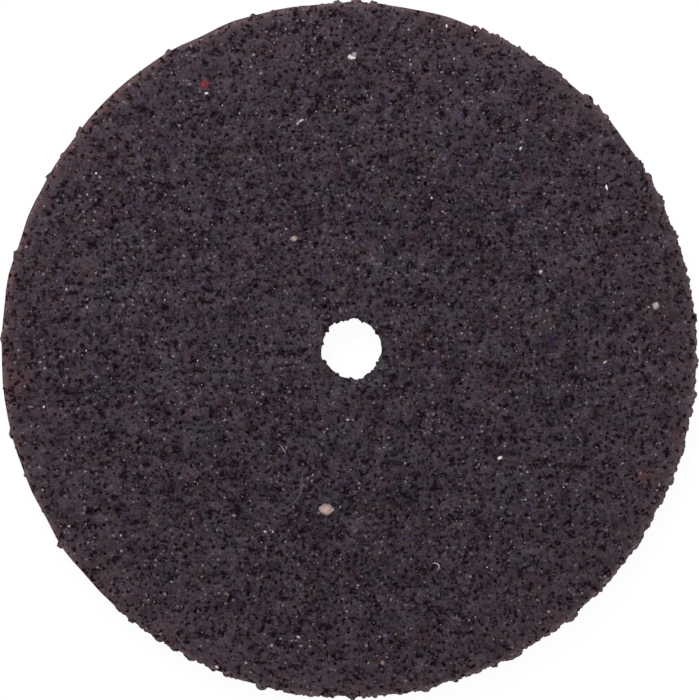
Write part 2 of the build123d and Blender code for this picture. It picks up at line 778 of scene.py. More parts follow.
class Batches:
    """Gathers many small shapes into one bmesh.

    An operator slows as its mesh grows, so shapes are made in a small bmesh that is emptied now and then.
    """

    def __init__(self, layers: Sequence[str] = (), limit: int = 120) -> None:
        """Starts with nothing.

        Args:
            layers: Names of the numbers that each vertex holds.
            limit: How many shapes the small bmesh takes.
        """
        self.layers = layers
        self.limit = limit
        self.whole = self.empty()
        self.small = self.empty()
        self.count = 0

    def empty(self) -> bmesh.types.BMesh:
        """A bmesh with the named layers and nothing in it."""
        made = bmesh.new()
        for name in self.layers:
            made.verts.layers.float.new(name)
        return made

    def next(self) -> bmesh.types.BMesh:
        """The bmesh that the next shape goes into."""
        if self.count >= self.limit:
            self.merge()
        self.count += 1
        return self.small

    def merge(self) -> None:
        """Moves what the small bmesh holds to the whole."""
        carrier = bpy.data.meshes.new("carrier")
        self.small.to_mesh(carrier)
        self.small.free()
        self.whole.from_mesh(carrier)
        bpy.data.meshes.remove(carrier)
        self.small = self.empty()
        self.count = 0

    def all(self) -> bmesh.types.BMesh:
        """Everything that was made."""
        self.merge()
        self.small.free()
        return self.whole


@dataclass
class Swell:
    """How far the rim or the bore stands out or in at each angle, since neither is truly round.

    Attributes:
        mean: The swell that all angles share.
        height: The height of each wave.
        counts: How often each wave goes up and down in one turn.
        seed: Starts the draw.
        lean: How much further the wall stands out towards one side.
        heading: The direction of that side, in degrees from +X.
    """

    mean: float
    height: float
    counts: tuple[int, ...]
    seed: int
    lean: float = 0.0
    heading: float = 0.0

    def __post_init__(self) -> None:
        """Draws where each wave begins."""
        chance = random.Random(self.seed)
        self.starts = [chance.uniform(0, math.tau) for _ in self.counts]

    def at(self, turn: float) -> float:
        """The swell at this angle, given in radians."""
        waves = (math.sin(count * turn + start) for count, start in zip(self.counts, self.starts))
        towards = max(0.0, math.cos(turn - math.radians(self.heading)))
        return self.mean + self.height * sum(waves) + self.lean * towards


@dataclass(frozen=True)
class Stretch:
    """A stretch of the rim where the moulded skin is whole, in degrees from +X."""

    start: float
    end: float

    def holds(self, angle: float) -> bool:
        """Whether this angle, in degrees, lies in the stretch."""
        return self.start <= angle % 360 <= self.end


LONG_SKIN = Stretch(98, 226)
SHORT_SKINS = (Stretch(35, 41), Stretch(46.5, 51), Stretch(69, 84), Stretch(94.5, 98))


def lies_at(part: Union[bmesh.types.BMFace, bmesh.types.BMEdge], height: float) -> bool:
    """Whether all corners of a face or an edge lie at this height."""
    return all(abs(corner.co.z - height) < SAME for corner in part.verts)


def around(radius: float, turn: float, height: float = 0.0) -> Vector:
    """The place at this distance, direction and height, with the direction in radians from +X."""
    return Vector((radius * math.cos(turn), radius * math.sin(turn), height))


@dataclass
class PressedBody:
    """The pressed disc: the solid's rim and bore, with pores in both faces.

    Attributes:
        sizes: The wheel's sizes.
        sides: The two faces with their pores.
        rim_swell: How far the rim stands out at each angle.
        bore_swell: How far the wall of the bore stands back at each angle.
        floor_share: The width of a pore's floor as a share of its mouth.
        floor_spread: The least and the greatest reach of a corner of the floor, as a share of its even place.
        floor_depth: The least and the greatest depth of such a corner, as a share of the pore's depth.
        middle_depth: How much deeper the floor's middle lies, as such a share.
        ragged: How uneven a pore's outline is.
        rim_cuts, bore_cuts: Planes through the axis that cut the walls into short steps.
        near_wall: How far from a wall the middle of a face may lie for the face to be cut.
        wall_margin: How far off a wall a corner may lie and still move with its swell.
        chord_depth: How far the middle of a step of the solid's wall may lie inside its circle, as a share of
            the radius.
        worn_share: How much of a grain of the solid still stands out where a short skin covers it.
        sharp_angle: The angle between two faces, in degrees, at which their edge shows.
        seed: Starts the draws.
    """

    sizes: WheelSizes
    sides: tuple[Side, Side]
    rim_swell: Swell
    bore_swell: Swell
    floor_share: float = 0.45
    floor_spread: tuple[float, float] = (0.8, 1.15)
    floor_depth: tuple[float, float] = (0.55, 0.9)
    middle_depth: tuple[float, float] = (0.0, 0.3)
    ragged: float = 0.38
    rim_cuts: int = 150
    bore_cuts: int = 24
    near_wall: float = 0.4
    wall_margin: float = 0.005
    chord_depth: float = 0.0012
    worn_share: float = 0.2
    sharp_angle: float = 28.0
    seed: int = 11

    def mouths(self, pores: Iterable[Pore], height: float) -> bmesh.types.BMesh:
        """Flat outlines of the pores, each a face.

        Args:
            pores: The pores of one face of the wheel.
            height: The height of that face.

        Returns:
            The outlines.
        """
        chance = random.Random(self.seed)
        batches = Batches()
        for pore in pores:
            shape = batches.next()
            place = Matrix.Translation((pore.x, pore.y, height)) @ Matrix.Rotation(pore.turn, 4, "Z")
            stretch = Matrix.Diagonal((pore.length / 2, pore.width / 2, 1.0, 1.0))
            circle = bmesh.ops.create_circle(shape, cap_ends=True, segments=pore.corners, radius=1.0)
            for corner in circle["verts"]:
                corner.co *= chance.uniform(1 - self.ragged, 1.0)
            bmesh.ops.transform(shape, matrix=place @ stretch, verts=circle["verts"])
        return batches.all()

    def open_face(self, shell: bmesh.types.BMesh, height: float) -> None:
        """Takes the flat face at this height out of the shell."""
        flat = [face for face in shell.faces if lies_at(face, height)]
        bmesh.ops.delete(shell, geom=flat, context="FACES")

    def close_face(self, shell: bmesh.types.BMesh, side: Side) -> list[bmesh.types.BMFace]:
        """Fills the opening of a face round its pores' mouths.

        Args:
            shell: The open shell.
            side: The face.

        Returns:
            The mouths.
        """
        outlines = self.mouths(side.pores.pores, side.height)
        carrier = bpy.data.meshes.new("carrier")
        outlines.to_mesh(carrier)
        outlines.free()
        rings = [edge for edge in shell.edges if edge.is_boundary and lies_at(edge, side.height)]
        before = set(shell.faces)
        shell.from_mesh(carrier)
        bpy.data.meshes.remove(carrier)
        mouths = [f for f in shell.faces if f not in before]

        corners = list(dict.fromkeys(v for edge in rings for v in edge.verts))
        corners += [v for mouth in mouths for v in mouth.verts]
        number = {corner: place for place, corner in enumerate(corners)}
        edges = [[number[v] for v in edge.verts] for edge in rings]
        holes = [[number[v] for v in mouth.verts] for mouth in mouths]
        within_outline = 1
        least_gap = 1e-6
        net = delaunay_2d_cdt([corner.co.xy for corner in corners], edges, holes, within_outline, least_gap)
        places, _, triangles, origins, _, inside = net
        bore_reach = self.sizes.bore_radius + self.sizes.bore_margin / 2
        for triangle, mouths_round in zip(triangles, inside):
            if mouths_round or all(places[i].length < bore_reach for i in triangle):
                continue
            shell.faces.new([corners[origins[i][0]] for i in triangle])
        return mouths

    def sink(self, shell: bmesh.types.BMesh, mouths: list[bmesh.types.BMFace], side: Side) -> None:
        """Sinks the pores of a face into the wheel.

        Args:
            shell: The closed shell.
            mouths: The pores' mouths, in the order of the pores.
            side: The face.
        """
        chance = random.Random(self.seed + 1)
        layer = shell.verts.layers.float["pore"]
        floors = bmesh.ops.extrude_discrete_faces(shell, faces=mouths)["faces"]
        for floor, pore in zip(floors, side.pores.pores):
            middle = floor.calc_center_median()
            for corner in floor.verts:
                spread = (corner.co - middle) * self.floor_share * chance.uniform(*self.floor_spread)
                drop = Vector((0, 0, side.inward * pore.depth * chance.uniform(*self.floor_depth)))
                corner.co = middle + spread + drop
                # How much painted shade the pore's floor gets.
                corner[layer] = pore.darkness
        centres = bmesh.ops.poke(shell, faces=floors)["verts"]
        for centre, pore in zip(centres, side.pores.pores):
            centre.co.z += side.inward * chance.uniform(*self.middle_depth) * pore.depth
            centre[layer] = pore.darkness

    def round_walls(self, shell: bmesh.types.BMesh) -> None:
        """Cuts the walls of the rim and the bore into short steps and moves these onto their true circles.

        Args:
            shell: The open shell.
        """
        walls = (
            (self.sizes.rim_centre, self.sizes.wall_radius, self.rim_cuts),
            (Vector(), self.sizes.bore_radius, self.bore_cuts),
        )
        for centre, radius, cuts in walls:
            for cut in range(cuts):
                turn = math.pi * (cut + 0.5) / cuts
                near = []
                for face in shell.faces:
                    from_wall = (face.calc_center_median() - centre).xy.length - radius
                    if abs(from_wall) < self.near_wall:
                        near.append(face)
                parts = {part for face in near for part in (*face.verts, *face.edges, face)}
                normal = (-math.sin(turn), math.cos(turn), 0.0)
                bmesh.ops.bisect_plane(shell, geom=list(parts), dist=SAME, plane_co=centre, plane_no=normal)
        corner_break = self.sizes.wall_radius - self.sizes.face_radius
        for corner in shell.verts:
            from_face = min(corner.co.z - self.sizes.bottom, self.sizes.top - corner.co.z)
            level = self.sizes.wall_radius - max(0.0, corner_break - from_face)
            self.round_corner(corner, self.sizes.rim_centre, level)
            self.round_corner(corner, Vector(), self.sizes.bore_radius)

    def round_corner(self, corner: bmesh.types.BMVert, centre: Vector, radius: float) -> None:
        """Moves a corner onto a circle if it lies on a chord of it."""
        outward = (corner.co - centre) * Vector((1.0, 1.0, 0.0))
        if 0.0 < radius - outward.length < self.chord_depth * radius:
            corner.co += outward.normalized() * (radius - outward.length)

    def swell_walls(self, shell: bmesh.types.BMesh) -> None:
        """Moves the walls of the rim and the bore, and the grains that stand on them, by their swell.

        Args:
            shell: The open shell.
        """
        for corner in shell.verts:
            outward = Vector((corner.co.x - self.sizes.rim_x, corner.co.y - self.sizes.rim_y, 0.0))
            turn = math.atan2(outward.y, outward.x)
            proud = outward.length - self.sizes.wall_radius
            if proud > 0.0 and any(skin.holds(math.degrees(turn)) for skin in SHORT_SKINS):
                corner.co -= outward.normalized() * proud * (1 - self.worn_share)
            if proud > -self.wall_margin:
                corner.co += outward.normalized() * self.rim_swell.at(turn)
            outward = Vector((corner.co.x, corner.co.y, 0.0))
            if outward.length < self.sizes.bore_radius + self.wall_margin:
                corner.co += outward.normalized() * self.bore_swell.at(math.atan2(outward.y, outward.x))

    def build(self, node: bpy.types.Object, material: bpy.types.Material) -> bpy.types.Object:
        """Builds the disc.

        Args:
            node: The solid wheel, which this piece stands for.
            material: The finish.

        Returns:
            The disc.
        """
        shell = bmesh.new()
        shell.from_mesh(node.data)
        shell.verts.layers.float.new("pore")
        bmesh.ops.scale(shell, vec=(1 / MM, 1 / MM, 1 / MM), verts=shell.verts)
        bmesh.ops.remove_doubles(shell, verts=shell.verts, dist=SAME)
        for side in self.sides:
            self.open_face(shell, side.height)
        self.round_walls(shell)
        self.swell_walls(shell)
        mouths = [self.close_face(shell, side) for side in self.sides]
        bmesh.ops.recalc_face_normals(shell, faces=shell.faces)
        for side, found in zip(self.sides, mouths):
            self.sink(shell, found, side)
        bmesh.ops.recalc_face_normals(shell, faces=shell.faces)
        open_edges = sum(1 for edge in shell.edges if not edge.is_manifold)
        log.info("pressed_disc: %d open edges", open_edges)
        piece = finished("pressed_disc", shell, material)
        piece.data.shade_smooth()
        piece.data.set_sharp_from_angle(angle=math.radians(self.sharp_angle))
        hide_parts(NODE)
        return piece


@dataclass
class GrainMaker:
    """Makes crushed grains, each a rough ball with flat facets.

    Attributes:
        seed: Starts the draws.
        rough: How far a corner of a grain lies inside the ball at most, as a share of the ball's radius.
        detail: How finely the ball is divided.
        fade: How much of its shade a grain has lost at its outline.
    """

    seed: int
    rough: float = 0.3
    detail: int = 1
    fade: float = 0.0

    def __post_init__(self) -> None:
        """Starts the random numbers and the batches that take the grains."""
        self.chance = random.Random(self.seed)
        self.batches = Batches(("shade",))

    def grain(
        self,
        centre: Vector,
        size: Vector,
        turn: Euler,
        shade: float,
        ceiling: Optional[float] = None,
        floor: Optional[float] = None,
    ) -> None:
        """Adds one grain.

        Args:
            centre: Its middle.
            size: Its three widths.
            turn: How it lies.
            shade: A number that its finish reads.
            ceiling: The height that it is pressed flat at.
            floor: The depth that it is pressed flat at.
        """
        shape = self.batches.next()
        layer = shape.verts.layers.float["shade"]
        ball = bmesh.ops.create_icosphere(shape, subdivisions=self.detail, radius=BALL_RADIUS)["verts"]
        for corner in ball:
            corner[layer] = shade * (1 - self.fade * corner.co.xy.length_squared / BALL_RADIUS**2)
            corner.co *= self.chance.uniform(1 - self.rough, 1.0)
        place = Matrix.Translation(centre) @ turn.to_matrix().to_4x4() @ Matrix.Diagonal((*size, 1.0))
        bmesh.ops.transform(shape, matrix=place, verts=ball)
        for corner in ball:
            if ceiling is not None:
                corner.co.z = min(corner.co.z, ceiling)
            if floor is not None:
                corner.co.z = max(corner.co.z, floor)

    def any_turn(self) -> Euler:
        """A random attitude."""
        return Euler([self.chance.uniform(0, math.tau) for _ in range(3)])

    def any_size(self, width: float, least: float, most: float) -> Vector:
        """Three widths, each between two shares of this one."""
        return Vector([width * self.chance.uniform(least, most) for _ in range(3)])


@dataclass
class RimGrit:
    """Grit over the rim, between the coarse grains of the solid.

    Attributes:
        sizes: The wheel's sizes.
        swell: How far the rim stands out at each angle.
        chips: How much further or less the grit stands out at each angle.
        count: How many grains are drawn. Most of those in the skin are left out.
        small, large: The least and the greatest width of a grain.
        coarse_share: The share of large grains.
        stand: A measure of how far a grain stands out.
        least_stand: The stand of the lowest grain, as a share of that measure.
        fine_stand: How far a fine grain stands out, as a share of a coarse one's stand.
        sunk: How far behind its stand a grain's middle lies, as a share of its width.
        from_face: The least distance from its middle to a face, as a share of its width.
        unevenness: The least and the greatest of its three widths, as shares of its width.
        skin_share: The share of the grains in the long skin that pierce it.
        seed: Starts the scatter.
    """

    sizes: WheelSizes
    swell: Swell
    chips: Swell
    count: int = 2600
    small: float = 0.14
    large: float = 0.54
    coarse_share: float = 0.22
    stand: float = 0.107
    least_stand: float = -0.4
    fine_stand: float = 0.5
    sunk: float = 0.42
    from_face: float = 0.4
    unevenness: tuple[float, float] = (0.75, 1.1)
    skin_share: float = 0.05
    seed: int = 31

    def build(self, material: bpy.types.Material) -> bpy.types.Object:
        """Builds the grit.

        Args:
            material: The finish.

        Returns:
            The grit.
        """
        maker = GrainMaker(self.seed, rough=0.14, detail=2)
        chance = maker.chance
        top, bottom = self.sizes.top, self.sizes.bottom
        middle = (self.small + self.large) / 2
        corner = self.sizes.wall_radius - self.sizes.face_radius
        for _ in range(self.count):
            angle = chance.uniform(0, 360)
            coarse = chance.random() < self.coarse_share
            width = chance.uniform(middle, self.large) if coarse else chance.uniform(self.small, middle)
            stand = self.stand * chance.uniform(self.least_stand, 1.0) * (1.0 if coarse else self.fine_stand)
            z = chance.uniform(bottom + self.from_face * width, top - self.from_face * width)
            if LONG_SKIN.holds(angle) and chance.random() > self.skin_share:
                continue
            if any(skin.holds(angle) for skin in SHORT_SKINS):
                continue
            slope = max(0.0, corner - min(z - bottom, top - z))
            turn = math.radians(angle)
            wall = self.sizes.wall_radius + self.swell.at(turn) + self.chips.at(turn) - slope
            radius = wall + stand - self.sunk * width
            centre = self.sizes.rim_centre + around(radius, turn, z)
            size = maker.any_size(width, *self.unevenness)
            maker.grain(centre, size, maker.any_turn(), chance.random(), ceiling=top, floor=bottom)
        return finished("rim_grit", maker.batches.all(), material)


@dataclass
class BoreGrit:
    """Grit in the wall of the bore.

    Attributes:
        sizes: The wheel's sizes.
        swell: How far the wall stands back at each angle.
        count: How many grains are set.
        small, large: The least and the greatest width of a grain.
        stand: How far the proudest of them stands into the bore.
        sunk: How far behind its stand a grain's middle lies, as a share of its width.
        from_face: The least distance from its middle to a face, as a share of its width.
        unevenness: The least and the greatest of its three widths, as shares of its width.
        seed: Starts the scatter.
    """

    sizes: WheelSizes
    swell: Swell
    count: int = 150
    small: float = 0.10
    large: float = 0.26
    stand: float = 0.045
    sunk: float = 0.4
    from_face: float = 0.3
    unevenness: tuple[float, float] = (0.75, 1.1)
    seed: int = 41

    def build(self, material: bpy.types.Material) -> bpy.types.Object:
        """Builds the grit.

        Args:
            material: The finish.

        Returns:
            The grit.
        """
        maker = GrainMaker(self.seed)
        chance = maker.chance
        for _ in range(self.count):
            turn = chance.uniform(0, math.tau)
            width = chance.uniform(self.small, self.large)
            wall = self.sizes.bore_radius + self.swell.at(turn)
            radius = wall - chance.uniform(0.0, 1.0) * self.stand + self.sunk * width
            inset = self.from_face * width
            z = chance.uniform(self.sizes.bottom + inset, self.sizes.top - inset)
            centre = around(radius, turn, z)
            size = maker.any_size(width, *self.unevenness)
            maker.grain(centre, size, maker.any_turn(), chance.random(), self.sizes.top, self.sizes.bottom)
        return finished("bore_grit", maker.batches.all(), material)


@dataclass
class Glints:
    """Small clean crystals in the mouths of the pores, whose pale colour is a painted glint that stands in
    for light on their facets.

    Attributes:
        sides: The two faces with their pores.
        share: The share of the pores that hold a crystal.
        small, large: The least and the greatest width of a crystal.
        unevenness: The least and the greatest of its three widths, as shares of its width.
        off_centre: The least and the greatest distance from the pore's middle, as shares of half its width.
        below: A measure of how far a crystal's flat top lies below the face.
        below_shares: The least and the greatest of that distance, as shares of the measure.
        sunk: How far its middle lies under its top, as a share of its width.
        rareness: The power that makes bright painted glints rarer than dim ones.
        seed: Starts the scatter.
    """

    sides: tuple[Side, Side]
    share: float = 0.5
    small: float = 0.055
    large: float = 0.095
    unevenness: tuple[float, float] = (0.6, 1.2)
    off_centre: tuple[float, float] = (0.3, 0.75)
    below: float = 0.012
    below_shares: tuple[float, float] = (0.5, 2.0)
    sunk: float = 0.3
    rareness: int = 3
    seed: int = 51

    def build(self, material: bpy.types.Material) -> bpy.types.Object:
        """Builds the crystals.

        Args:
            material: The finish.

        Returns:
            The crystals.
        """
        maker = GrainMaker(self.seed)
        chance = maker.chance
        for side in self.sides:
            for pore in side.pores.pores:
                if chance.random() > self.share:
                    continue
                width = chance.uniform(self.small, self.large)
                turn = chance.uniform(0, math.tau)
                off = pore.width / 2 * chance.uniform(*self.off_centre)
                level = side.level(self.below * chance.uniform(*self.below_shares))
                x = pore.x + off * math.cos(turn)
                y = pore.y + off * math.sin(turn)
                centre = Vector((x, y, level + side.inward * width * self.sunk))
                size = maker.any_size(width, *self.unevenness)
                attitude = maker.any_turn()
                # Painted glint: how bright the crystal's colour is.
                shade = chance.random() ** self.rareness
                maker.grain(centre, size, attitude, shade, **side.pressed(level))
        return finished("glints", maker.batches.all(), material)


@dataclass
class OddGrains:
    """The tan, pale, white, red and brown grains that stand out from the dark ones.

    Attributes:
        sizes: The wheel's sizes.
        scale: Where the wheel lies in the photograph.
        crevice: The gap round a grain in its pore.
        mouth_share: The size of the pore without that gap, as a share of the grain's size as it is seen.
        off_centre: How far the pore's middle lies off the grain's, along +X and against +Y.
        below: How far the top of a grain in its pore lies below the face.
        proud: How far a grain without a pore stands out of the face.
        depth, corners, darkness: The depth, the corners and the painted shade of each pore.
        thickness: The height of a grain before it is enlarged.
        enlarged: The ball that a grain is made of, as a share of the grain's size as it is seen.
        sunk: How far its middle lies under its top.
        tilt: How far a grain leans at most, in radians.
        rough, detail, fade: How its shape and its shade are made.
        nearest: The least distance of a grain of the lower face from the bore's axis, in radii of the bore.
        free_width: How much of that face's radius stays free of them, in millimetres.
        seed: Starts the draws.
    """

    sizes: WheelSizes
    scale: PhotoScale
    crevice: float = 0.02
    mouth_share: float = 1.15
    off_centre: float = 0.02
    below: float = 0.004
    proud: float = 0.012
    depth: float = 0.10
    corners: int = 9
    darkness: float = 0.7
    thickness: float = 0.14
    enlarged: float = 1.25
    sunk: float = 0.04
    tilt: float = 0.3
    rough: float = 0.28
    detail: int = 2
    fade: float = 0.75
    nearest: float = 1.5
    free_width: float = 2.0
    seed: int = 61

    def __post_init__(self) -> None:
        """Draws the grains of the lower face, which is not seen, at random."""
        chance = random.Random(self.seed)
        self.lower: list[tuple[SeenGrain, Vector]] = []
        for seen in SEEN_GRAINS:
            turn = chance.uniform(0, math.tau)
            spread = self.sizes.face_radius - self.free_width
            distance = self.sizes.bore_radius * self.nearest + chance.random() ** 0.5 * spread
            self.lower.append((seen, self.sizes.rim_centre + around(distance, turn)))

    def seats(self, side: Side, places: Iterable[tuple[SeenGrain, Vector]]) -> list[Seat]:
        """Opens a pore for each grain to sit in.

        Args:
            side: The face.
            places: The grains and where they go.

        Returns:
            The grains, each with its face, its place and how far its top lies below the face. A grain that
            finds no room for a pore, as near the rim, stands a little proud instead.
        """
        seated = []
        for seen, place in places:
            length = self.mouth_share * seen.length + 2 * self.crevice
            width = self.mouth_share * seen.width + 2 * self.crevice
            x = place.x + self.off_centre
            y = place.y - self.off_centre
            turn = math.radians(seen.turn)
            pore = Pore(x, y, length, width, turn, self.depth, self.corners, self.darkness)
            below = self.below if side.pores.add(pore) else -self.proud
            seated.append((side, seen, place, below))
        proud = sum(1 for *_, below in seated if below < 0)
        log.info("%s face: %d odd grains, %d of them proud", side.name, len(seated), proud)
        return seated

    def upper_places(self) -> list[tuple[SeenGrain, Vector]]:
        """The grains of the upper face, where the photograph shows them."""
        return [(seen, self.scale.place(self.sizes, seen.x, seen.y)) for seen in SEEN_GRAINS]

    def build(
        self, colour: GrainColour, seated: list[Seat], material: bpy.types.Material
    ) -> bpy.types.Object:
        """Builds the grains of one colour.

        Args:
            colour: The colour.
            seated: The grains of both faces, with their seats.
            material: Their finish.

        Returns:
            The grains.
        """
        seed = self.seed + list(GrainColour).index(colour)
        maker = GrainMaker(seed, self.rough, self.detail, self.fade)
        for side, seen, place, below in seated:
            if seen.colour is not colour:
                continue
            level = side.level(below)
            centre = Vector((place.x, place.y, level + side.inward * self.sunk))
            size = Vector((seen.length, seen.width, self.thickness)) * self.enlarged
            lean = [maker.chance.uniform(-self.tilt, self.tilt) for _ in range(2)]
            turn = Euler((*lean, math.radians(seen.turn)))
            maker.grain(centre, size, turn, seen.brightness.value, **side.pressed(level))
        return finished(f"{colour.value}_grains", maker.batches.all(), material)


@dataclass(frozen=True)
class SeenStain:
    """A reddish brown stain.

    Attributes:
        x, y: Its pixel in the photograph.
        radius: Its radius in millimetres.
        depth: How far it lies below the upper face.
        full_part: The part of the radius within which it is full.
    """

    x: float
    y: float
    radius: float
    depth: float = 0.0
    full_part: ClassVar[float] = 0.4


SEEN_STAINS = (
    SeenStain(21, 376, 0.62),
    SeenStain(70, 551, 0.30),
    SeenStain(232, 676, 0.32),
    SeenStain(649, 470, 0.50),
    SeenStain(453, 20, 0.30),
    SeenStain(3.5, 341, 0.55, 0.5),
    SeenStain(9.5, 434, 0.50, 0.5),
)


@dataclass(frozen=True)
class SeenFibre:
    """A fibre in the upper face.

    Attributes:
        points: The pixels that it runs through in the photograph.
        width: Its width in millimetres.
        brightness: How bright it is.
    """

    points: tuple[tuple[float, float], ...]
    width: float
    brightness: Brightness


LONG_ARC = (
    (302.6, 469.7),
    (301.5, 476),
    (301.2, 482),
    (301.6, 488.7),
    (298.4, 496),
    (292, 504.5),
    (281.6, 508.3),
)
SMALL_HOOK = ((432.2, 562.9), (435, 562.4), (438.3, 564), (438.8, 567), (437.2, 570))
SEEN_FIBRES = (
    SeenFibre(LONG_ARC, 0.026, Brightness.FAINT),
    SeenFibre(((278.4, 443.4), (282.6, 447.8), (285.4, 452.5)), 0.036, Brightness.CLEAR),
    SeenFibre(((355.2, 519.8), (359, 518), (363.4, 515.9)), 0.038, Brightness.DIM),
    SeenFibre(SMALL_HOOK, 0.050, Brightness.CLEAR),
    SeenFibre(((176.2, 609.5), (177.2, 606.8), (179.2, 605.2), (181.5, 604.2)), 0.036, Brightness.FAINT),
    SeenFibre(((66.5, 527.8), (64.8, 529), (62.6, 531.4)), 0.036, Brightness.FAINT),
)


@dataclass
class Fibres:
    """Stray fibres, half sunk in the upper face.

    Attributes:
        sizes: The wheel's sizes.
        scale: Where the wheel lies in the photograph.
        end_share: The width of a fibre's end as a share of its width.
        steps: How many straight steps a fibre has between two points.
    """

    sizes: WheelSizes
    scale: PhotoScale
    end_share: float = 0.35
    steps: int = 4

    def build(self, material: bpy.types.Material) -> bpy.types.Object:
        """Builds the fibres as fine tubes that thin out towards their ends.

        Args:
            material: The finish.

        Returns:
            The fibres.
        """
        batches = Batches(("shade",))
        for seen in SEEN_FIBRES:
            line = bpy.data.curves.new("fibre_line", "CURVE")
            line.dimensions = "3D"
            line.bevel_depth = seen.width / 2
            line.bevel_resolution = 1
            line.resolution_u = self.steps
            line.use_fill_caps = True
            spline = line.splines.new("NURBS")
            spline.points.add(len(seen.points) - 1)
            for point, (x, y) in zip(spline.points, seen.points):
                place = self.scale.place(self.sizes, x, y)
                point.co = (place.x, place.y, place.z, 1.0)
            for end in (spline.points[0], spline.points[-1]):
                end.radius = self.end_share
            spline.order_u = 3
            spline.use_endpoint_u = True
            holder = bpy.data.objects.new("fibre_line", line)
            mesh = bpy.data.meshes.new_from_object(holder)
            shape = batches.next()
            before = len(shape.verts)
            shape.from_mesh(mesh)
            layer = shape.verts.layers.float["shade"]
            for corner in list(shape.verts)[before:]:
                corner[layer] = seen.brightness.value
            bpy.data.objects.remove(holder)
            bpy.data.curves.remove(line)
            bpy.data.meshes.remove(mesh)
        return finished("fibres", batches.all(), material)


# Finishes


@dataclass(frozen=True)
class RimPlace:
    """How a place lies to the rim, as values of one finish.

    Attributes:
        radius: Its distance from the rim's centre.
        resin_side: 1 on the side that is rich in resin and 0 on the other.
        upper_side: From 0 at the rim's lower end to 1 at its upper end, as seen from above.
    """

    radius: Value
    resin_side: Value
    upper_side: Value


